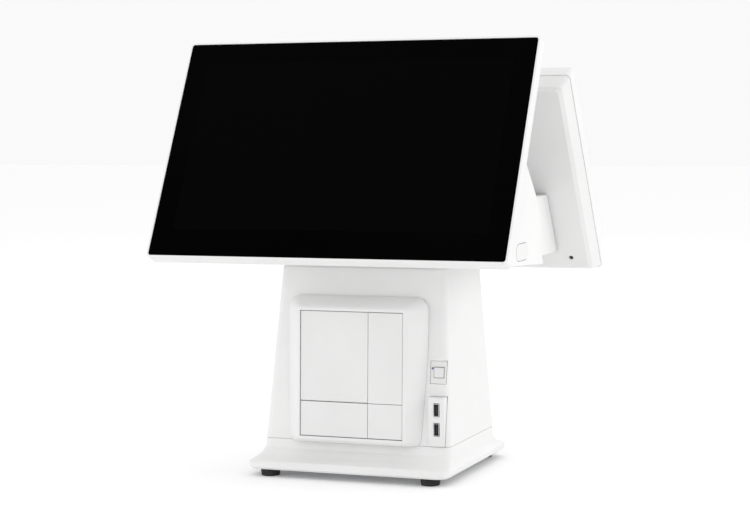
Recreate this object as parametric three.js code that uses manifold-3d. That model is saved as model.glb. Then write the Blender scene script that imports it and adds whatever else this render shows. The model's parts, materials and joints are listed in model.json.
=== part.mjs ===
// A dual-screen counter terminal: a tilted touchscreen facing the cashier, a mirrored customer
// display behind it, and a tapered column with a receipt printer bay, on a flared base.
// Millimetres, +X right, +Y towards the customer, +Z up. The origin is on the counter, under the
// middle of the overall box.

import * as THREE from 'three';
import * as BufferGeometryUtils from 'three/addons/utils/BufferGeometryUtils.js';
import Module from 'manifold-3d';

const wasm = await Module();
wasm.setup();

// ---------------------------------------------------------------- driving dimensions
const GAP = 0.35;                    // clearance kept between neighbouring pieces
const WALL = 2.5;                    // moulded shell thickness

const FOOT_HEIGHT = 8;
const FOOT_RADIUS = 10.6;
const FOOT_X = 90.2;
const FOOT_FRONT_Y = -111;
const FOOT_REAR_Y = 58;

const BASE = { x: 112.5, front: -125.5, rear: 75, radius: 12, edge: 9, flareTop: 36, wall: 3.5, bevel: 2 };
const BASE_PLATE = { inset: 4, thick: 2 };
const COLUMN_LOW = { x: 105, front: -92.5, rear: 53, radius: 7, z: 36 };
const COLUMN_HIGH = { x: 92.5, front: -68, rear: 48, radius: 7, z: 221.6 };
const COLUMN_SLOPE = (COLUMN_HIGH.front - COLUMN_LOW.front) / (COLUMN_HIGH.z - COLUMN_LOW.z);
const CABLE_WAY = { x: 25, front: -15, rear: 30 };    // from the column up into the head
const INLET = { x: 34, low: 58, high: 92, inset: 5, thick: 2, jackX: -20, jackZ: 75, jackRadius: 5 };

const SCREEN = { width: 394, height: 251, depth: 15, radius: 5, rim: 2.2, glass: 3, panel: 6, ledge: 12 };
const MAIN = { y: -180.4, z: 235.9, tilt: THREE.MathUtils.degToRad(27.7) };
const REAR = { y: 180.4, z: 210, tilt: THREE.MathUtils.degToRad(30.5) };
const REAR_COVER = { depth: 16, inset: 11 };

const WEDGE = { x: 187, lowY: -28.8, lowZ: 222.8, kneeY: -41, kneeZ: 284, topUp: 135, thin: 6 };
const HEAD = { x: 154, front: -25, top: 288, bottom: 222 };
const HINGE = { z: 297, mainY: -20, rearY: 78, x: 80, radius: 6, pin: 2.5, leaf: 4, arm: 22 };

const DOOR = { left: -58.5, right: 56.5, bottom: 43, top: 174.7, y: -103.5, lean: 0.0496 };
const DOOR_SPLIT_X = 17.9;           // upright joint between the paper door and the release key
const DOOR_SPLIT_Z = 79.5;           // level joint above the two lower panels
const DOOR_THICK = 3.5;
const SEAM = 0.5;                    // visible line between the front panels
const BULGE = { left: -61.5, right: 59.5, bottom: 39.8, top: 178, radius: 3, proud: 1 };
const BAY = { front: -76, depth: 78, wall: 2 };         // the bucket that holds the paper roll
const PLATEN = { y: -85, z: 164.5, radius: 5, axle: 1.4, ear: 4.5 };
const PRINT_HEAD = { inset: 6, front: 6, rear: 9, below: 8, above: 6 };  // measured from the platen

const POWER = { x: 89.5, z: 112.5, width: 17.5, height: 24, button: 10.4, buttonX: 90.5, clear: 0.6 };
const LAMP_SPOT = { x: -6.4, z: 4, radius: 0.85, sides: 14 };            // measured from the power plate
const USB = { x: 91, portX: 91.4, top: 88, width: 18, proud: 2.5, portWide: 6.6, portTall: 14 };
const USB_LEVELS = [['upper', 75], ['lower', 54.5]];
const USB_CAN = { depth: 13, skin: 0.6 };

const PORT_COVER = { y: -100, z: 241, long: 19.5, tall: 8.5, thick: 2.2, proud: 0.4 };
const COVER_SCREW = { x: -168, up: 24, hole: 2.6, radius: 2.2, sides: 16 };

const BOARD_THICK = 2;
const MAIN_BOARD = { left: -120, right: 60, front: -120, rear: -60, z: 240 };
const POWER_BOARD = { left: -100, right: -20, front: 0, rear: 60, z: 230 };
const DRIVER_BOARD = { x: 60, low: 60, high: 110, lift: 5 };
const HEAT_SINK = { left: -64, right: -10, front: -112, rear: -70, z: 242.4, plate: 2.6, top: 262 };
const FINS = { count: 7, pitch: 8, thick: 2 };
const DRIVE = { left: 80, right: 150, front: -125, rear: -65, low: 240, high: 247 };
const SPEAKER = { x: 70, y: 30, low: 226, high: 244, radius: 24 };

// ---------------------------------------------------------------- materials
function plastic(color, roughness) {
  return new THREE.MeshStandardMaterial({ color, roughness, metalness: 0 });
}

function metal(color, roughness) {
  return new THREE.MeshStandardMaterial({ color, roughness, metalness: 1 });
}

const WHITE = plastic(0xf1f1ef, 0.38);
const PANEL_WHITE = plastic(0xe9e9e7, 0.34);
const GLASS = plastic(0x050506, 0.08);
const RUBBER = plastic(0x16161a, 0.85);
const DARK = plastic(0x222226, 0.5);
const STEEL = metal(0xb8bbc0, 0.35);
const BOARD = plastic(0x1f5a38, 0.6);
const LAMP = plastic(0x9fb4d8, 0.3);

// ---------------------------------------------------------------- geometry helpers
function toSolid(geometry) {
  const bare = geometry.clone();
  bare.deleteAttribute('normal');
  bare.deleteAttribute('uv');
  const merged = BufferGeometryUtils.mergeVertices(bare, 1e-4);
  return new wasm.Manifold(new wasm.Mesh({
    numProp: 3,
    vertProperties: new Float32Array(merged.attributes.position.array),
    triVerts: new Uint32Array(merged.index.array),
  }));
}

function toGeometry(solid) {
  const mesh = solid.getMesh();
  const geometry = new THREE.BufferGeometry();
  geometry.setAttribute('position', new THREE.BufferAttribute(mesh.vertProperties, 3));
  geometry.setIndex(new THREE.BufferAttribute(mesh.triVerts, 1));
  geometry.computeVertexNormals();
  return geometry;
}

function cut(body, ...tools) {
  return toGeometry(tools.reduce((rest, tool) => rest.subtract(toSolid(tool)), toSolid(body)));
}

function join(body, ...others) {
  return toGeometry(others.reduce((sum, other) => sum.add(toSolid(other)), toSolid(body)));
}

function box(x0, x1, y0, y1, z0, z1) {
  const geometry = new THREE.BoxGeometry(x1 - x0, y1 - y0, z1 - z0);
  return geometry.translate((x0 + x1) / 2, (y0 + y1) / 2, (z0 + z1) / 2);
}

// A rod along X.
function rodX(x0, x1, y, z, radius, sides = 20) {
  const geometry = new THREE.CylinderGeometry(radius, radius, x1 - x0, sides);
  return geometry.rotateZ(-Math.PI / 2).translate((x0 + x1) / 2, y, z);
}

// A disc or post standing on z0.
function post(x, y, z0, z1, low, high = low, sides = 28) {
  const geometry = new THREE.CylinderGeometry(high, low, z1 - z0, sides);
  return geometry.rotateX(Math.PI / 2).translate(x, y, (z0 + z1) / 2);
}

// Slopes an upright piece back by a fraction of its height above a level that stays in place.
function lean(geometry, slope, level) {
  return geometry.applyMatrix4(new THREE.Matrix4().set(
    1, 0, 0, 0,
    0, 1, slope, -slope * level,
    0, 0, 1, 0,
    0, 0, 0, 1));
}

// A short rod along Y.
function rodY(x, z, y0, y1, radius, sides = 20) {
  return new THREE.CylinderGeometry(radius, radius, y1 - y0, sides).translate(x, (y0 + y1) / 2, z);
}

function roundedRect(x0, x1, y0, y1, radius) {
  const shape = new THREE.Shape();
  shape.absarc(x1 - radius, y1 - radius, radius, 0, Math.PI / 2);
  shape.absarc(x0 + radius, y1 - radius, radius, Math.PI / 2, Math.PI);
  shape.absarc(x0 + radius, y0 + radius, radius, Math.PI, 1.5 * Math.PI);
  shape.absarc(x1 - radius, y0 + radius, radius, 1.5 * Math.PI, 2 * Math.PI);
  return shape;
}

function slab(shape, z0, z1, curveSegments = 6) {
  const options = { depth: z1 - z0, bevelEnabled: false, curveSegments };
  return new THREE.ExtrudeGeometry(shape, options).translate(0, 0, z0);
}

// A prism along X whose outline is a list of [y, z] points, counter-clockwise seen from +X.
function prism(points, x0, x1) {
  const shape = new THREE.Shape(points.map(([y, z]) => new THREE.Vector2(y, z)));
  const turn = new THREE.Matrix4().makeBasis(
    new THREE.Vector3(0, 1, 0), new THREE.Vector3(0, 0, 1), new THREE.Vector3(1, 0, 0));
  const geometry = new THREE.ExtrudeGeometry(shape, { depth: x1 - x0, bevelEnabled: false });
  return geometry.applyMatrix4(turn).translate(x0, 0, 0);
}

// A plate standing in the XZ plane with its face towards -Y, from y0 back to y1.
function upright(shape, y0, y1, curveSegments = 6) {
  return slab(shape, 0, y1 - y0, curveSegments).rotateX(Math.PI / 2).translate(0, y1, 0);
}

const RING_STEPS = 6;                // segments in each rounded corner of a lofted ring

function ringPoints({ left, right, front, rear, radius }) {
  const corners = [[right, rear, 0], [left, rear, 1], [left, front, 2], [right, front, 3]];
  const points = [];
  for (const [x, y, quarter] of corners) {
    const cx = x + (x > 0 ? -radius : radius);
    const cy = y + (y === rear ? -radius : radius);
    for (let i = 0; i <= RING_STEPS; i += 1) {
      const angle = (quarter + i / RING_STEPS) * Math.PI / 2;
      points.push([cx + radius * Math.cos(angle), cy + radius * Math.sin(angle)]);
    }
  }
  return points;
}

// A closed body through rounded rectangles stacked upwards.
function loft(sections) {
  const rings = sections.map((section) => ringPoints(section));
  const count = rings[0].length;
  const positions = rings.flatMap((ring, i) => ring.flatMap(([x, y]) => [x, y, sections[i].z]));
  const index = [];
  for (let i = 0; i < rings.length - 1; i += 1) {
    for (let j = 0; j < count; j += 1) {
      const a = i * count + j;
      const b = i * count + (j + 1) % count;
      index.push(a, b, b + count, a, b + count, a + count);
    }
  }
  const top = (rings.length - 1) * count;
  for (let j = 1; j < count - 1; j += 1) {
    index.push(0, j + 1, j, top, top + j, top + j + 1);
  }
  const geometry = new THREE.BufferGeometry();
  geometry.setAttribute('position', new THREE.Float32BufferAttribute(positions, 3));
  geometry.setIndex(index);
  return geometry;
}

function place(group, name, geometry, material) {
  const mesh = new THREE.Mesh(geometry, material);
  mesh.name = name;
  group.add(mesh);
}

// ---------------------------------------------------------------- column outline
function section(z, inset = 0) {
  const t = (z - COLUMN_LOW.z) / (COLUMN_HIGH.z - COLUMN_LOW.z);
  const mix = (key) => THREE.MathUtils.lerp(COLUMN_LOW[key], COLUMN_HIGH[key], t);
  const half = mix('x') - inset;
  const radius = COLUMN_LOW.radius - inset;
  return { z, left: -half, right: half, front: mix('front') + inset, rear: mix('rear') - inset, radius };
}

function columnFront(z) {
  return section(z).front;
}

function doorFront(z) {
  return DOOR.y + DOOR.lean * (z - DOOR.bottom);
}

// ---------------------------------------------------------------- base
function baseSection(z, inset) {
  const { x, front, rear, radius } = BASE;
  return { z, left: inset - x, right: x - inset, front: front + inset, rear: rear - inset, radius };
}

// The skirt sweeps up in a hollow curve: [height above the rim, share of the way in to the column].
const FLARE_STEPS = [[2, 0.45], [5, 0.74], [10, 0.92]];

function flareSection(z, share) {
  const wide = baseSection(z, BASE.bevel);
  const narrow = section(z);
  const blend = (key) => THREE.MathUtils.lerp(wide[key], narrow[key], share);
  return {
    z, left: blend('left'), right: blend('right'), front: blend('front'), rear: blend('rear'), radius: 11,
  };
}

function shrink({ z, left, right, front, rear, radius }, inset, drop) {
  return {
    z: z - drop, left: left + inset, right: right - inset, front: front + inset, rear: rear - inset, radius,
  };
}

function buildBase(group) {
  const low = FOOT_HEIGHT;
  const edge = low + BASE.edge;
  const outer = loft([
    baseSection(low, BASE.bevel),
    baseSection(low + BASE.bevel, 0),
    baseSection(edge - BASE.bevel, 0),
    baseSection(edge, BASE.bevel),
    ...FLARE_STEPS.map(([height, share]) => flareSection(edge + height, share)),
    section(BASE.flareTop),
  ]);
  const hollow = loft([
    baseSection(low - 1, BASE.wall),
    baseSection(edge - BASE.wall, BASE.wall),
    ...FLARE_STEPS.map(([height, share]) => shrink(flareSection(edge + height, share), WALL, WALL + 0.5)),
    section(BASE.flareTop - BASE.wall, COLUMN_LOW.radius - 0.6),
  ]);
  const ledge = COLUMN_LOW.radius - 1;
  const passage = loft([section(edge, ledge), section(BASE.flareTop + 1, ledge)]);
  place(group, 'base_skirt', cut(outer, hollow, passage), WHITE);

  const { inset, thick } = BASE_PLATE;
  const sheet = roundedRect(
    inset - BASE.x, BASE.x - inset, BASE.front + inset, BASE.rear - inset, BASE.radius);
  place(group, 'base_plate', slab(sheet, low, low + thick), STEEL);
  for (const [side, sign] of [['left', -1], ['right', 1]]) {
    for (const [end, y] of [['front', FOOT_FRONT_Y], ['rear', FOOT_REAR_Y]]) {
      const foot = post(sign * FOOT_X, y, 0, low - GAP, FOOT_RADIUS - 1, FOOT_RADIUS);
      place(group, `foot_${end}_${side}`, foot, RUBBER);
    }
  }
}

// ---------------------------------------------------------------- column
function buildColumn(group) {
  const low = BASE.flareTop + GAP;
  const outer = loft([section(low), section(COLUMN_HIGH.z - 4), section(COLUMN_HIGH.z, 3)]);
  const inner = loft([section(low - 1, WALL), section(COLUMN_HIGH.z - WALL - 4, WALL)]);
  const ahead = BASE.front;
  const bay = box(DOOR.left - 3, DOOR.right + 3, ahead, COLUMN_HIGH.front + 8, low - 3, DOOR.top + 4);
  const powerHole = box(POWER.x - POWER.width / 2, POWER.x + POWER.width / 2, ahead, columnFront(POWER.z) + 8,
    POWER.z - POWER.height / 2, POWER.z + POWER.height / 2);
  const usbHole = box(USB.x - USB.width / 2, USB.x + USB.width / 2, ahead, columnFront(USB.top) + 8,
    low - 3, USB.top);
  const rear = section(INLET.jackZ).rear - INLET.inset;
  const inletHole = box(-INLET.x, INLET.x, rear - 4, rear + 8, INLET.low, INLET.high);
  const cableHole = box(-CABLE_WAY.x, CABLE_WAY.x, CABLE_WAY.front, CABLE_WAY.rear,
    COLUMN_HIGH.z - 12, COLUMN_HIGH.z + 2);
  place(group, 'column_shell', cut(outer, inner, bay, powerHole, usbHole, inletHole, cableHole), WHITE);
  buildInlet(group, rear);
}

// A recessed panel low on the column's back, with a round DC socket through it.
function buildInlet(group, y) {
  const { x, low, high, thick, jackX, jackZ, jackRadius } = INLET;
  const tunnel = rodY(jackX, jackZ, y - 5, y + 5, jackRadius + GAP);
  const panel = box(GAP - x, x - GAP, y, y + thick, low + GAP, high - GAP);
  place(group, 'inlet_panel', cut(panel, tunnel), DARK);
  const barrel = rodY(jackX, jackZ, y - 10, y + 4, jackRadius);
  const mouth = rodY(jackX, jackZ, y - 7, y + 6, jackRadius - 1.8);
  const centre = rodY(jackX, jackZ, y - 8, y + 2, 1);
  place(group, 'power_inlet', join(cut(barrel, mouth), centre), DARK);
}

// ---------------------------------------------------------------- printer in the column front
// The raised surround slopes from its front face, depth by depth, out to the column. Each step is
// [depth behind the face, widening at the sides, widening at top and bottom].
const BULGE_STEPS = [
  [0, 0, 0], [0.6, 1.6, 1.2], [2, 3.4, 2.6], [8, 10, 6], [14, 15, 8.5], [19, 18, 10.5], [30, 18.4, 12],
];

function bulgeBody() {
  const { left, right, bottom, top, radius } = BULGE;
  const face = -DOOR.y + BULGE.proud;
  const sections = BULGE_STEPS.map(([depth, side, tall]) => ({
    z: face - depth,
    left: left - side,
    right: right + side,
    front: bottom - tall,
    rear: top + tall,
    radius: radius + tall,
  }));
  return lean(loft(sections.reverse()).rotateX(Math.PI / 2), DOOR.lean, DOOR.bottom);
}

function buildPrinter(group) {
  const ahead = 200;                 // well clear of the piece on every side
  const inFront = prism([
    [-ahead, BASE.flareTop + GAP],
    [columnFront(BASE.flareTop) - GAP, BASE.flareTop + GAP],
    [columnFront(ahead) - GAP, ahead],
    [-ahead, ahead],
  ], -ahead, ahead);
  const block = toGeometry(toSolid(bulgeBody()).intersect(toSolid(inFront)));
  const window = box(DOOR.left - SEAM, DOOR.right + SEAM, -ahead, -40, DOOR.bottom - SEAM, DOOR.top + SEAM);
  place(group, 'printer_frame', cut(block, window), WHITE);

  const back = columnFront(DOOR.bottom) + BAY.depth;
  const bucket = cut(
    box(DOOR.left, DOOR.right, BAY.front, back, DOOR.bottom, DOOR.top),
    box(DOOR.left + BAY.wall, DOOR.right - BAY.wall, BAY.front - 1, back - BAY.wall,
      DOOR.bottom + BAY.wall, DOOR.top - BAY.wall));
  place(group, 'roll_bucket', bucket, DARK);

  buildPaperDoor(group);
  panelOf(group, 'release_key', DOOR_SPLIT_X, DOOR.right, DOOR_SPLIT_Z, DOOR.top);
  panelOf(group, 'lower_cover_left', DOOR.left, DOOR_SPLIT_X, DOOR.bottom, DOOR_SPLIT_Z);
  panelOf(group, 'lower_cover_right', DOOR_SPLIT_X, DOOR.right, DOOR.bottom, DOOR_SPLIT_Z);
  const head = box(DOOR.left + PRINT_HEAD.inset, DOOR_SPLIT_X - PRINT_HEAD.inset,
    PLATEN.y + PRINT_HEAD.front, PLATEN.y + PRINT_HEAD.rear,
    PLATEN.z - PRINT_HEAD.below, PLATEN.z + PRINT_HEAD.above);
  place(group, 'print_head', head, STEEL);
}

// The door turns on a pin in its rounded lower edge and carries the platen roller on two ears.
function buildPaperDoor(group) {
  const left = DOOR.left + SEAM / 2;
  const right = DOOR_SPLIT_X - SEAM / 2;
  const half = DOOR_THICK / 2;
  const pinZ = DOOR_SPLIT_Z + SEAM / 2 + half;
  const pinY = doorFront(pinZ) + half;
  const high = DOOR.top - SEAM / 2;
  const leaf = prism([
    [pinY - half, pinZ],
    [pinY + half, pinZ],
    [doorFront(high) + DOOR_THICK, high],
    [doorFront(high), high],
  ], left, right);
  const ears = [[left + 1, left + 4], [right - 4, right - 1]].map(([x0, x1]) => (
    box(x0, x1, doorFront(PLATEN.z) + half, PLATEN.y + 4, PLATEN.z - PLATEN.ear, PLATEN.z + PLATEN.ear)));
  const door = cut(
    join(leaf, rodX(left, right, pinY, pinZ, half), ...ears),
    rodX(left - 1, right + 1, pinY, pinZ, 0.95, 12),
    rodX(left - 1, right + 1, PLATEN.y, PLATEN.z, PLATEN.axle + 0.4, 12));
  place(group, 'paper_door', door, PANEL_WHITE);
  place(group, 'door_hinge_pin', rodX(left + 0.5, right - 0.5, pinY, pinZ, 0.7, 12), STEEL);
  const roller = join(
    rodX(left + 5, right - 5, PLATEN.y, PLATEN.z, PLATEN.radius),
    rodX(left + 1.2, right - 1.2, PLATEN.y, PLATEN.z, PLATEN.axle, 12));
  place(group, 'platen_roller', roller, RUBBER);
}

// One flat front panel, leaning back with the column.
function panelOf(group, name, x0, x1, z0, z1) {
  const low = z0 + SEAM / 2;
  const high = z1 - SEAM / 2;
  const outline = [
    [doorFront(low), low],
    [doorFront(low) + DOOR_THICK, low],
    [doorFront(high) + DOOR_THICK, high],
    [doorFront(high), high],
  ];
  place(group, name, prism(outline, x0 + SEAM / 2, x1 - SEAM / 2), PANEL_WHITE);
}

// ---------------------------------------------------------------- power key and USB ports
function buildControls(group) {
  const face = columnFront(POWER.z);
  const half = POWER.button / 2;
  const room = half + POWER.clear;
  const lampX = POWER.x + LAMP_SPOT.x;
  const lampZ = POWER.z + LAMP_SPOT.z;
  const escutcheon = cut(
    box(POWER.x - POWER.width / 2 + GAP, POWER.x + POWER.width / 2 - GAP, face + 0.5, face + 3,
      POWER.z - POWER.height / 2 + GAP, POWER.z + POWER.height / 2 - GAP),
    box(POWER.buttonX - room, POWER.buttonX + room, face - 5, face + 8, POWER.z - room, POWER.z + room),
    rodY(lampX, lampZ, face - 5, face + 8, LAMP_SPOT.radius + GAP, LAMP_SPOT.sides));
  place(group, 'power_plate', lean(escutcheon, COLUMN_SLOPE, POWER.z), PANEL_WHITE);
  const button = box(POWER.buttonX - half, POWER.buttonX + half, face - 0.9, face + 4,
    POWER.z - half, POWER.z + half);
  place(group, 'power_button', lean(button, COLUMN_SLOPE, POWER.z), PANEL_WHITE);
  const lamp = rodY(lampX, lampZ, face - 0.4, face + 3, LAMP_SPOT.radius, LAMP_SPOT.sides);
  place(group, 'power_lamp', lean(lamp, COLUMN_SLOPE, POWER.z), LAMP);

  const usbFace = columnFront(BASE.flareTop) - USB.proud;
  const holes = USB_LEVELS.map(([, z]) => box(USB.portX - USB.portWide / 2, USB.portX + USB.portWide / 2,
    usbFace - 6, usbFace + 30, z - USB.portTall / 2, z + USB.portTall / 2));
  const plate = box(USB.x - USB.width / 2 + GAP, USB.x + USB.width / 2 - GAP,
    usbFace, columnFront(USB.top) + 2, BASE.flareTop + 2 * GAP, USB.top - GAP);
  place(group, 'usb_plate', cut(plate, ...holes), PANEL_WHITE);
  USB_LEVELS.forEach(([name, z]) => buildUsbPort(group, name, z, usbFace));
}

function buildUsbPort(group, name, z, face) {
  const x = USB.portX;
  const { depth, skin } = USB_CAN;
  const wide = USB.portWide / 2 - GAP;
  const tall = USB.portTall / 2 - GAP;
  const can = cut(box(x - wide, x + wide, face - 0.3, face + depth, z - tall, z + tall),
    box(x - wide + skin, x + wide - skin, face - 1, face + depth - 1, z - tall + skin, z + tall - skin));
  place(group, `usb_${name}_shell`, can, STEEL);
  const tongue = box(x - 1.2, x + 0.8, face + 1, face + depth - 1.4, z - tall + 1 + skin, z + tall - 1 - skin);
  place(group, `usb_${name}_tongue`, tongue, DARK);
}

// ---------------------------------------------------------------- one flat screen, facing +Z
function buildScreen(group, name) {
  const { width, height, depth, radius, rim, glass, panel, ledge } = SCREEN;
  const half = width / 2;
  const frame = slab(roundedRect(-half, half, 0, height, radius), -depth, 0);
  const recess = slab(roundedRect(rim - half, half - rim, rim, height - rim, radius - rim), -glass, 1);
  const well = box(ledge - half, half - ledge, ledge, height - ledge, -depth - 1, 0.5 - glass);
  place(group, `${name}_bezel`, cut(frame, recess, well), WHITE);
  const sheet = slab(roundedRect(rim + GAP - half, half - rim - GAP, rim + GAP, height - rim - GAP,
    radius - rim - GAP), -glass + GAP, -0.3);
  place(group, `${name}_glass`, sheet, GLASS);
  const inset = ledge + 2;
  const lcd = box(inset - half, half - inset, inset, height - inset, -glass - panel, -glass - 0.2);
  place(group, `${name}_lcd_panel`, lcd, DARK);
}

// A point on the main screen's side, [y, z]: up its slope and deep behind its face.
function mainAt(up, deep) {
  const s = Math.sin(MAIN.tilt);
  const c = Math.cos(MAIN.tilt);
  return [MAIN.y + up * s + deep * c, MAIN.z + up * c - deep * s];
}

// The same for the customer screen, which faces +Y.
function rearAt(up, deep) {
  const s = Math.sin(REAR.tilt);
  const c = Math.cos(REAR.tilt);
  return [REAR.y - up * s - deep * c, REAR.z + up * c - deep * s];
}

// ---------------------------------------------------------------- main display
function wedgeOutline(inset) {
  const back = SCREEN.depth + GAP - (inset > 0 ? 1 : 0);
  return [
    mainAt(3 + inset, back),
    [WEDGE.lowY - inset, WEDGE.lowZ + inset],
    [WEDGE.kneeY - inset, WEDGE.kneeZ - inset / 2],
    mainAt(WEDGE.topUp, SCREEN.depth + WEDGE.thin - inset),
    mainAt(SCREEN.height - 8 - inset, SCREEN.depth + WEDGE.thin - inset),
    mainAt(SCREEN.height - 3 - inset, back),
  ];
}

function buildMainDisplay(group) {
  const face = new THREE.Group();
  face.rotation.x = Math.PI / 2 - MAIN.tilt;
  face.position.set(0, MAIN.y, MAIN.z);
  buildScreen(face, 'main');
  group.add(face);

  const { x } = WEDGE;
  const shell = cut(prism(wedgeOutline(0), -x, x), prism(wedgeOutline(WALL), WALL - x, x - WALL),
    sidePill(GAP + 0.15, 2 * WALL + 1, 1));
  place(group, 'main_back_shell', shell, WHITE);
  place(group, 'side_port_cover', sidePill(0, PORT_COVER.thick, PORT_COVER.proud), PANEL_WHITE);
  buildMainElectronics(group);
}

// A round-ended plate on the wedge's right side: grown all round, and proud of the wall.
function sidePill(grow, thick, proud) {
  const long = PORT_COVER.long + grow;
  const tall = PORT_COVER.tall + grow;
  const plate = upright(roundedRect(-long, long, -tall, tall, tall - 0.1), 0, thick).rotateZ(Math.PI / 2);
  return plate.translate(WEDGE.x + proud, PORT_COVER.y, PORT_COVER.z);
}

function flatBoard({ left, right, front, rear, z }) {
  return box(left, right, front, rear, z, z + BOARD_THICK);
}

function buildMainElectronics(group) {
  place(group, 'main_board', flatBoard(MAIN_BOARD), BOARD);
  const { left, right, front, rear, z, plate, top } = HEAT_SINK;
  const fins = [];
  for (let i = 0; i < FINS.count; i += 1) {
    const finLeft = left + 2 + i * FINS.pitch;
    fins.push(box(finLeft, finLeft + FINS.thick, front, rear, z + plate / 2, top));
  }
  place(group, 'heat_sink', join(box(left, right, front, rear, z, z + plate), ...fins), STEEL);
  const drive = box(DRIVE.left, DRIVE.right, DRIVE.front, DRIVE.rear, DRIVE.low, DRIVE.high);
  place(group, 'storage_drive', drive, DARK);
}

// ---------------------------------------------------------------- customer display
function buildRearDisplay(group) {
  const face = new THREE.Group();
  face.rotation.set(-(Math.PI / 2 - REAR.tilt), 0, Math.PI);
  face.position.set(0, REAR.y, REAR.z);
  buildScreen(face, 'customer');

  const half = SCREEN.width / 2;
  const at = (z, inset) => ({
    z, left: inset - half, right: half - inset, front: inset, rear: SCREEN.height - inset, radius: 5,
  });
  const far = -SCREEN.depth - REAR_COVER.depth;
  const near = -SCREEN.depth - GAP;
  const outer = loft([at(far, REAR_COVER.inset), at(far + 3, REAR_COVER.inset - 4), at(near, 1)]);
  const inner = loft([at(far + WALL, REAR_COVER.inset + WALL), at(near + 1, 1 + WALL)]);
  const screwAt = (z0, z1, radius) => (
    post(COVER_SCREW.x, COVER_SCREW.up, z0, z1, radius, radius, COVER_SCREW.sides));
  const hole = screwAt(far - 2, far + 6, COVER_SCREW.hole);
  place(face, 'customer_back_cover', cut(outer, inner, hole), WHITE);
  place(face, 'cover_screw', screwAt(far + 0.8, far + 8, COVER_SCREW.radius), DARK);
  const { x, low, high, lift } = DRIVER_BOARD;
  place(face, 'driver_board', box(-x, x, low, high, far + lift, far + lift + BOARD_THICK), BOARD);
  group.add(face);
}

// ---------------------------------------------------------------- head and hinges
function buildHead(group) {
  const deep = SCREEN.depth + REAR_COVER.depth + 1.5;
  const upTo = (z) => (z - REAR.z + deep * Math.sin(REAR.tilt)) / Math.cos(REAR.tilt);
  const lowRear = rearAt(upTo(HEAD.bottom), deep);
  const highRear = rearAt(upTo(HEAD.top), deep);
  const outline = [[HEAD.front, HEAD.bottom], lowRear, highRear, [HEAD.front, HEAD.top]];
  const inside = [
    [HEAD.front + WALL, HEAD.bottom + WALL],
    [lowRear[0] - 2 * WALL, lowRear[1] + WALL],
    [highRear[0] - 2 * WALL, highRear[1] - WALL],
    [HEAD.front + WALL, HEAD.top - WALL],
  ];
  const cable = box(-CABLE_WAY.x, CABLE_WAY.x, CABLE_WAY.front, CABLE_WAY.rear,
    HEAD.bottom - 1, HEAD.bottom + 6);
  const housing = cut(prism(outline, -HEAD.x, HEAD.x), prism(inside, WALL - HEAD.x, HEAD.x - WALL), cable);
  place(group, 'head_housing', housing, WHITE);
  place(group, 'power_board', flatBoard(POWER_BOARD), BOARD);
  place(group, 'speaker', post(SPEAKER.x, SPEAKER.y, SPEAKER.low, SPEAKER.high, SPEAKER.radius), DARK);
}

// A saddle on the head holds the pin; the leaf turns with the screen.
function buildHinge(group, name, y, x, reach) {
  const { z, radius, pin, arm } = HINGE;
  const half = arm / 2;
  const ears = [-1, 1].map((s) => join(
    rodX(x + s * (half + 4) - 3, x + s * (half + 4) + 3, y, z, radius),
    box(x + s * (half + 4) - 3, x + s * (half + 4) + 3, y - radius, y + radius, HEAD.top + GAP, z)));
  const foot = box(x - half - 7, x + half + 7, y - radius, y + radius, HEAD.top + GAP, HEAD.top + 2.2);
  const bore = rodX(x - 40, x + 40, y, z, pin + GAP);
  place(group, `${name}_saddle`, cut(join(foot, ...ears), bore), STEEL);
  place(group, `${name}_pin`, rodX(x - half - 8, x + half + 8, y, z, pin), STEEL);
  const barrel = rodX(x - half, x + half, y, z, radius);
  const tongue = prism(reach, x - half, x + half);
  place(group, `${name}_leaf`, cut(join(barrel, tongue), bore), STEEL);
}

function buildHinges(group) {
  const { z, mainY, rearY, x, leaf } = HINGE;
  const slope = (y0, z0, y1, z1, zAt) => y0 + (y1 - y0) * (zAt - z0) / (z1 - z0);
  const [topY, topZ] = mainAt(WEDGE.topUp, SCREEN.depth + WEDGE.thin);
  const wedgeY = (zAt) => slope(WEDGE.kneeY, WEDGE.kneeZ, topY, topZ, zAt) + GAP + 0.1;
  const deep = SCREEN.depth + REAR_COVER.depth + GAP + 0.1;
  const coverY = (zAt) => rearAt((zAt - REAR.z + deep * Math.sin(REAR.tilt)) / Math.cos(REAR.tilt), deep)[0];
  const mainReach = [
    [wedgeY(z), z], [mainY, z], [mainY, z + leaf], [wedgeY(z + 12), z + 12]];
  const rearReach = [
    [rearY, z], [coverY(z), z], [coverY(z + 12), z + 12], [rearY, z + leaf]];
  for (const [side, sign] of [['left', -1], ['right', 1]]) {
    buildHinge(group, `main_hinge_${side}`, mainY, sign * x, mainReach);
    buildHinge(group, `customer_hinge_${side}`, rearY, sign * x, rearReach);
  }
}

const terminal = new THREE.Group();
buildBase(terminal);
buildColumn(terminal);
buildPrinter(terminal);
buildControls(terminal);
buildHead(terminal);
buildMainDisplay(terminal);
buildRearDisplay(terminal);
buildHinges(terminal);

export default terminal;
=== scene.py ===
"""Looks for a dual-screen checkout terminal: softened edges and satin plastic on the fixed CAD frame."""
import json
import math

import bmesh
import bpy
from mathutils import Matrix, Vector

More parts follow.
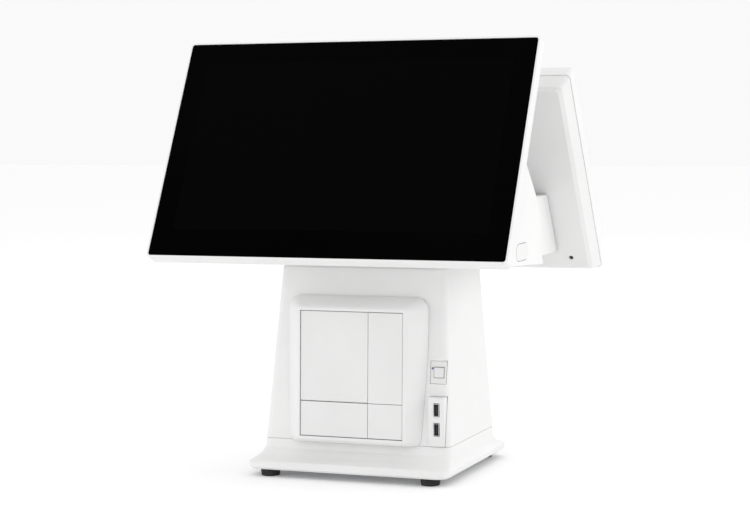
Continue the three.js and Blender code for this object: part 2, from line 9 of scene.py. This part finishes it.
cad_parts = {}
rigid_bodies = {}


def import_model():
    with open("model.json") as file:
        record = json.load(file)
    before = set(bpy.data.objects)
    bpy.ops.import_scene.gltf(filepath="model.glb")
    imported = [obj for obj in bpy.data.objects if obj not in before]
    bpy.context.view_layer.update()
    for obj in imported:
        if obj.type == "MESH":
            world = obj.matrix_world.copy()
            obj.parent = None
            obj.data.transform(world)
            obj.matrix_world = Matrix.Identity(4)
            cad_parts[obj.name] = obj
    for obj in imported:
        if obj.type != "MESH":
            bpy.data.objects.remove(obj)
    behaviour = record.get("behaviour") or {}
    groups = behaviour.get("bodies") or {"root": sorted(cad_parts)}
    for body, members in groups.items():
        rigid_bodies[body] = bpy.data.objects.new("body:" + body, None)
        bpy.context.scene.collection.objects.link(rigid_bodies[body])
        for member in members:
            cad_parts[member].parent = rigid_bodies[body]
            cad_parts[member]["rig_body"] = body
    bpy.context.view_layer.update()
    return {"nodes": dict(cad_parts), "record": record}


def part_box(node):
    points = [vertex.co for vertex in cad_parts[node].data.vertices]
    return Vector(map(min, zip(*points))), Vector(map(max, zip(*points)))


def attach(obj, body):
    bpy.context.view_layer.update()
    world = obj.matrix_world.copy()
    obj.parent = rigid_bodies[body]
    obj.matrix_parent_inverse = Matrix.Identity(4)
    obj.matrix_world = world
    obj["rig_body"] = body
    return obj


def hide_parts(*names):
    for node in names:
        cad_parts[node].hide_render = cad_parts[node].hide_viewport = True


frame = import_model()

MM = 0.001

# Camera: a long lens, to the right of the cashier's side and a little above the screens.
CAMERA_PLACE = Vector((0.7966, -2.0266, 0.4059))
CAMERA_YAW = math.radians(21.76)
CAMERA_PITCH = math.radians(5.05)
CAMERA_ROLL = math.radians(-0.76)
CAMERA_LENS = 96.6
CAMERA_SENSOR = 36
CAMERA_RISE = 0.008

# The far floor meets the studio wall close to the wall's own brightness, so the horizon is faint.
WALL_LIGHT = 0.95
FLOOR_GLOW = 0.08
FLOOR_WHITE = 0.93
FLOOR_ROUGHNESS = 0.9
FLOOR_HALF = 8

# Each square area light: place, side and power. All of them aim at the middle of the terminal.
LIGHTS = {
    "side_key": ((2.4, 0.9, 1.3), 1.6, 13),
    "top_fill": ((-0.4, -0.9, 2.4), 1.8, 3),
    "front_left_fill": ((-2.2, -1.5, 0.55), 1.4, 9),
    "rear_fill": ((0.3, 2.4, 1.4), 1.8, 7),
}
LIGHT_TARGET = Vector((0, 0, 0.22))

# How far each hard CAD edge is rounded, in millimetres. Nodes not listed keep their CAD mesh.
EDGE_WIDTHS = {
    2.2: ["main_back_shell"],
    2.0: ["customer_back_cover", "head_housing"],
    1.2: ["base_skirt"],
    1.0: ["column_shell", "printer_frame"],
    0.9: ["main_bezel", "customer_bezel"],
    0.8: ["foot_front_left", "foot_front_right", "foot_rear_left", "foot_rear_right"],
    0.7: ["power_button", "usb_plate"],
    0.5: ["side_port_cover"],
    0.3: ["paper_door", "release_key", "lower_cover_left", "lower_cover_right", "power_plate"],
    0.25: ["main_glass", "customer_glass"],
    0.2: ["usb_upper_tongue", "usb_lower_tongue"],
    0.15: ["usb_upper_shell", "usb_lower_shell"],
}
EDGE_SEGMENTS = 3
EDGE_ANGLE = math.radians(25)       # sharper folds than this are rounded
FLAT_ANGLE = math.radians(1)        # flatter folds than this are one face
MERGE_DISTANCE = 0.02 * MM

# The lit area of each 15.6 inch panel, seen through its cover glass.
PANEL_WIDE = 344.2 * MM
PANEL_TALL = 193.6 * MM
PANEL_MARGIN = 29.5 * MM            # from the lower edge of the glass
FILM_LIFT = 0.06 * MM               # how far the film's face stands off the glass
FILM_THICK = 0.7 * FILM_LIFT
GLASS_THICK = 2.35 * MM
MAIN_TILT = math.radians(27.7)      # each screen's lean from upright at rest
CUSTOMER_TILT = math.radians(30.5)
FACES_CASHIER = -1                  # the way along Y that a screen looks
FACES_CUSTOMER = 1

# Colours run between two tones over this middle part of a noise texture.
TONE_START = 0.35
TONE_END = 0.65


# ---------------------------------------------------------------- camera, stage and light
def add_camera():
    sin_yaw, cos_yaw = math.sin(CAMERA_YAW), math.cos(CAMERA_YAW)
    sin_pitch, cos_pitch = math.sin(CAMERA_PITCH), math.cos(CAMERA_PITCH)
    forward = Vector((-sin_yaw * cos_pitch, cos_yaw * cos_pitch, -sin_pitch))
    level = Vector((cos_yaw, sin_yaw, 0))
    upward = level.cross(forward)
    right = level * math.cos(CAMERA_ROLL) + upward * math.sin(CAMERA_ROLL)
    up = upward * math.cos(CAMERA_ROLL) - level * math.sin(CAMERA_ROLL)
    data = bpy.data.cameras.new("camera")
    data.lens = CAMERA_LENS
    data.sensor_width = CAMERA_SENSOR
    data.shift_y = CAMERA_RISE
    camera = bpy.data.objects.new("camera", data)
    turn = Matrix((right, up, -forward)).transposed().to_4x4()
    camera.matrix_world = Matrix.Translation(CAMERA_PLACE) @ turn
    bpy.context.scene.collection.objects.link(camera)
    bpy.context.scene.camera = camera


def add_light(name, place, size, power):
    data = bpy.data.lights.new(name, "AREA")
    data.size = size
    data.energy = power
    light = bpy.data.objects.new(name, data)
    aim = LIGHT_TARGET - Vector(place)
    light.location = place
    light.rotation_euler = aim.to_track_quat("-Z", "Y").to_euler()
    bpy.context.scene.collection.objects.link(light)


def add_floor():
    mesh = bpy.data.meshes.new("floor")
    side = FLOOR_HALF
    corners = [(-side, -side, 0), (side, -side, 0), (side, side, 0), (-side, side, 0)]
    mesh.from_pydata(corners, [], [(0, 1, 2, 3)])
    floor = bpy.data.objects.new("floor", mesh)
    bpy.context.scene.collection.objects.link(floor)
    paint, _, shader = new_material("floor_paint", FLOOR_ROUGHNESS)
    shader.inputs["Base Color"].default_value = (FLOOR_WHITE, FLOOR_WHITE, FLOOR_WHITE, 1)
    shader.inputs["Emission Color"].default_value = (1, 1, 1, 1)
    shader.inputs["Emission Strength"].default_value = FLOOR_GLOW
    mesh.materials.append(paint)


def add_studio():
    world = bpy.data.worlds.new("studio")
    world.use_nodes = True
    background = world.node_tree.nodes["Background"]
    background.inputs["Color"].default_value = (1, 1, 1, 1)
    background.inputs["Strength"].default_value = WALL_LIGHT
    bpy.context.scene.world = world
    bpy.context.scene.view_settings.view_transform = "Standard"
    for name, (place, size, power) in LIGHTS.items():
        add_light(name, place, size, power)


# ---------------------------------------------------------------- material building blocks
def new_material(name, roughness, metallic=0.0):
    material = bpy.data.materials.new(name)
    material.use_nodes = True
    shader = material.node_tree.nodes["Principled BSDF"]
    shader.inputs["Metallic"].default_value = metallic
    shader.inputs["Roughness"].default_value = roughness
    return material, material.node_tree, shader


def noise(tree, scale, detail=4.0, stretch=(1, 1, 1)):
    """Noise in the object's own coordinates, with scale in cells per metre."""
    place = tree.nodes.new("ShaderNodeTexCoord")
    mapping = tree.nodes.new("ShaderNodeMapping")
    mapping.inputs["Scale"].default_value = stretch
    texture = tree.nodes.new("ShaderNodeTexNoise")
    texture.inputs["Scale"].default_value = scale
    texture.inputs["Detail"].default_value = detail
    tree.links.new(place.outputs["Object"], mapping.inputs["Vector"])
    tree.links.new(mapping.outputs["Vector"], texture.inputs["Vector"])
    return texture.outputs["Fac"]


def tint(tree, shader, source, low, high):
    """Colours the surface between two tones."""
    node = tree.nodes.new("ShaderNodeValToRGB")
    node.color_ramp.elements[0].position = TONE_START
    node.color_ramp.elements[1].position = TONE_END
    node.color_ramp.elements[0].color = (*low, 1)
    node.color_ramp.elements[1].color = (*high, 1)
    tree.links.new(source, node.inputs["Fac"])
    tree.links.new(node.outputs["Color"], shader.inputs["Base Color"])


def polish(tree, shader, source, low, high):
    """Varies the roughness between two values."""
    node = tree.nodes.new("ShaderNodeMapRange")
    node.inputs["To Min"].default_value = low
    node.inputs["To Max"].default_value = high
    tree.links.new(source, node.inputs["Value"])
    tree.links.new(node.outputs["Result"], shader.inputs["Roughness"])


def bump(tree, shader, source, strength, distance):
    node = tree.nodes.new("ShaderNodeBump")
    node.inputs["Strength"].default_value = strength
    node.inputs["Distance"].default_value = distance
    tree.links.new(source, node.inputs["Height"])
    tree.links.new(node.outputs["Normal"], shader.inputs["Normal"])


# ---------------------------------------------------------------- materials
def moulded_plastic(name, low, high, roughness):
    """Satin ABS with the fine spark-eroded grain of an injection mould."""
    material, tree, shader = new_material(name, roughness)
    tint(tree, shader, noise(tree, scale=14), low, high)
    polish(tree, shader, noise(tree, scale=60), roughness - 0.05, roughness + 0.06)
    bump(tree, shader, noise(tree, scale=2600, detail=2), strength=0.12, distance=0.06 * MM)
    shader.inputs["Specular IOR Level"].default_value = 0.42
    return material


def cover_glass(name):
    """Black printed cover glass, polished, with faint wipe marks and hardly any reflection."""
    material, tree, shader = new_material(name, roughness=0.12)
    tint(tree, shader, noise(tree, scale=5, detail=2), (0.0003, 0.0003, 0.0003), (0.0005, 0.0005, 0.0006))
    polish(tree, shader, noise(tree, scale=22, detail=6, stretch=(1, 5, 1)), 0.07, 0.13)
    shader.inputs["Specular IOR Level"].default_value = 0.012
    return material


def panel_film_material(name):
    """The dark LCD, a shade greyer than the printed border round it."""
    material, tree, shader = new_material(name, roughness=0.3)
    tint(tree, shader, noise(tree, scale=3000, detail=1), (0.0007, 0.0007, 0.0008), (0.001, 0.001, 0.0012))
    shader.inputs["Specular IOR Level"].default_value = 0.012
    return material


def rubber(name):
    material, tree, shader = new_material(name, roughness=0.8)
    tint(tree, shader, noise(tree, scale=180), (0.011, 0.011, 0.012), (0.02, 0.02, 0.022))
    bump(tree, shader, noise(tree, scale=1500), strength=0.35, distance=0.1 * MM)
    return material


def brushed_steel(name):
    material, tree, shader = new_material(name, roughness=0.3, metallic=1.0)
    lines = noise(tree, scale=900, detail=3, stretch=(0.04, 1, 1))
    tint(tree, shader, lines, (0.5, 0.51, 0.53), (0.68, 0.69, 0.71))
    polish(tree, shader, lines, 0.22, 0.4)
    bump(tree, shader, lines, strength=0.15, distance=0.04 * MM)
    return material


def circuit_board(name):
    """Green solder mask broken into small tracks and fields."""
    material, tree, shader = new_material(name, roughness=0.45)
    cells = tree.nodes.new("ShaderNodeTexBrick")
    cells.inputs["Scale"].default_value = 90
    cells.inputs["Color1"].default_value = (0.012, 0.09, 0.035, 1)
    cells.inputs["Color2"].default_value = (0.016, 0.12, 0.045, 1)
    cells.inputs["Mortar"].default_value = (0.03, 0.2, 0.08, 1)
    place = tree.nodes.new("ShaderNodeTexCoord")
    tree.links.new(place.outputs["Object"], cells.inputs["Vector"])
    tree.links.new(cells.outputs["Color"], shader.inputs["Base Color"])
    return material


def lamp_lens(name):
    """A pale blue lens under a clear coat."""
    material, tree, shader = new_material(name, roughness=0.2)
    tint(tree, shader, noise(tree, scale=400), (0.10, 0.14, 0.3), (0.16, 0.22, 0.42))
    shader.inputs["Coat Weight"].default_value = 0.6
    return material


MATERIALS = {
    "white_shell": moulded_plastic("white_shell", (0.80, 0.797, 0.795), (0.825, 0.822, 0.82), 0.4),
    "white_panel": moulded_plastic("white_panel", (0.765, 0.762, 0.76), (0.79, 0.787, 0.785), 0.36),
    "dark_plastic": moulded_plastic(
        "dark_plastic", (0.016, 0.016, 0.018), (0.024, 0.024, 0.027), 0.45),
    "screen_glass": cover_glass("screen_glass"),
    "panel_film": panel_film_material("panel_film"),
    "rubber": rubber("rubber"),
    "steel": brushed_steel("steel"),
    "circuit_board": circuit_board("circuit_board"),
    "lamp_lens": lamp_lens("lamp_lens"),
}


# ---------------------------------------------------------------- softened copies of the hard CAD shells
def clean_copy(source):
    """A CAD mesh with its split vertices and flat triangles merged, and the old normals dropped."""
    data = source.data.copy()
    clean = bmesh.new()
    clean.from_mesh(data)
    bmesh.ops.remove_doubles(clean, verts=clean.verts, dist=MERGE_DISTANCE)
    bmesh.ops.dissolve_limit(clean, angle_limit=FLAT_ANGLE, verts=clean.verts, edges=clean.edges)
    clean.to_mesh(data)
    clean.free()
    stale = data.attributes.get("custom_normal")
    if stale:
        data.attributes.remove(stale)
    for polygon in data.polygons:
        polygon.use_smooth = True
    return data


def refine(node, slot, width):
    """Stands a copy of a CAD node in its place, with every hard edge rounded by width metres."""
    source = frame["nodes"][node]
    data = clean_copy(source)
    data.materials.clear()
    data.materials.append(MATERIALS[slot])
    piece = bpy.data.objects.new(f"{node}_finished", data)
    bpy.context.scene.collection.objects.link(piece)
    bevel = piece.modifiers.new("edges", "BEVEL")
    bevel.width = width
    bevel.segments = EDGE_SEGMENTS
    bevel.limit_method = "ANGLE"
    bevel.angle_limit = EDGE_ANGLE
    bevel.miter_outer = "MITER_ARC"
    bevel.harden_normals = True
    bpy.context.view_layer.update()
    shape = bpy.data.meshes.new_from_object(piece.evaluated_get(bpy.context.evaluated_depsgraph_get()))
    piece.modifiers.clear()
    piece.data = shape
    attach(piece, source["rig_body"])
    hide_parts(node)


def finish_nodes():
    slots = {part["node"]: part["material_slot"] for part in frame["record"]["subparts"]}
    widths = {node: width * MM for width, nodes in EDGE_WIDTHS.items() for node in nodes}
    for node, piece in frame["nodes"].items():
        if node in widths:
            refine(node, slots[node], widths[node])
        else:
            piece.data.materials.clear()
            piece.data.materials.append(MATERIALS[slots[node]])


# ---------------------------------------------------------------- lit area of the screens
def panel_film(name, glass, tilt, facing):
    """The LCD behind a screen's glass shows as a barely greyer rectangle within the printed border."""
    low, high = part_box(glass)
    slope = Vector((0, -facing * math.sin(tilt), math.cos(tilt)))
    normal = Vector((0, facing * math.cos(tilt), math.sin(tilt)))
    front = high.y if facing > 0 else low.y
    foot = Vector((0, front, low.z + GLASS_THICK * math.sin(tilt))) + normal * FILM_LIFT
    corners = []
    for side, up in ((-1, 0), (1, 0), (1, 1), (-1, 1)):
        rise = PANEL_MARGIN + up * PANEL_TALL
        corners.append(foot + Vector((side * facing * -PANEL_WIDE / 2, 0, 0)) + slope * rise)
    back = [corner - normal * FILM_THICK for corner in corners]
    mesh = bpy.data.meshes.new(name)
    faces = [(0, 1, 2, 3), (7, 6, 5, 4), (0, 4, 5, 1), (1, 5, 6, 2), (2, 6, 7, 3), (3, 7, 4, 0)]
    mesh.from_pydata([tuple(corner) for corner in corners + back], [], faces)
    mesh.materials.append(MATERIALS["panel_film"])
    piece = bpy.data.objects.new(name, mesh)
    bpy.context.scene.collection.objects.link(piece)
    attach(piece, frame["nodes"][glass]["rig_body"])


add_camera()
add_floor()
add_studio()
finish_nodes()
panel_film("main_panel_film", "main_glass", MAIN_TILT, FACES_CASHIER)
panel_film("customer_panel_film", "customer_glass", CUSTOMER_TILT, FACES_CUSTOMER)
